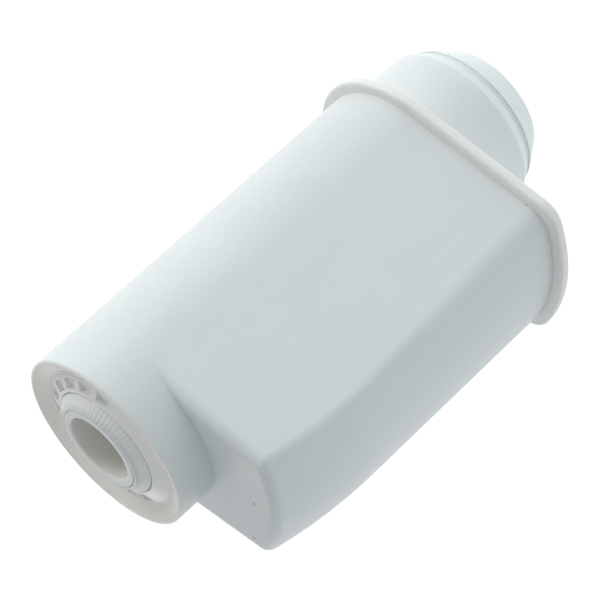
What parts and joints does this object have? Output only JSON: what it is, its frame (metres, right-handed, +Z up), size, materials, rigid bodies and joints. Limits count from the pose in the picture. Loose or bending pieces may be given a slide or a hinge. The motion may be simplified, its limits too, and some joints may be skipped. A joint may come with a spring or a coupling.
{
  "type": "pump water filter",
  "caption": "Drop-in tank water filter cartridge: round barrel with a flat-sided chamber, flanged neck with a cap, and a docking socket inside a turning ribbed dial.",
  "frame": {"origin": "centre of the flat end of the cap, on the axis of the round barrel", "axes": "+Z up the barrel's axis from the cap to the docking end; the side chamber bulges towards -X; +Y completes the frame"},
  "size_m": [0.0649, 0.0462, 0.115],
  "materials": {
    "shell_white": "satin moulded polypropylene",
    "cover_white": "satin moulded polypropylene",
    "cap_white": "satin moulded polypropylene",
    "socket_white": "matt moulded polypropylene",
    "clear_ring": "clear moulded plastic",
    "dial_white": "translucent white moulded plastic",
    "screen_plastic": "perforated plastic",
    "inner_plastic": "plain natural plastic",
    "seal_rubber": "soft moulded rubber",
    "fleece": "pressed white felt",
    "resin_beads": "packed amber beads",
    "carbon_grains": "packed black grains"
  },
  "bodies": {
    "cartridge": {"housing_shell": "shell_white", "end_cover": "cover_white", "neck_cap": "cap_white", "cap_o_ring": "seal_rubber", "docking_deck": "socket_white", "deck_gasket": "seal_rubber", "lip_seal": "seal_rubber", "window_ring": "clear_ring", "inlet_screen": "screen_plastic", "dial_o_ring": "seal_rubber", "media_canister": "inner_plastic", "lower_grid": "inner_plastic", "lower_fleece": "fleece", "resin_bed": "resin_beads", "divider_fleece": "fleece", "carbon_bed": "carbon_grains", "upper_fleece": "fleece", "upper_grid": "inner_plastic", "riser_tube": "inner_plastic", "riser_o_ring": "seal_rubber", "riser_strainer": "inner_plastic", "chamber_lower_grid": "inner_plastic", "chamber_lower_fleece": "fleece", "chamber_bed": "carbon_grains", "chamber_upper_fleece": "fleece", "chamber_upper_grid": "inner_plastic"},
    "dial": {"hardness_dial": "dial_white"}
  },
  "joints": [
    {"name": "dial_turn", "type": "hinge", "parent": "cartridge", "child": "dial", "pos_m": [0, 0, 0.105], "axis": [0, 0, 1], "range_deg": [-40, 40]}
  ]
}
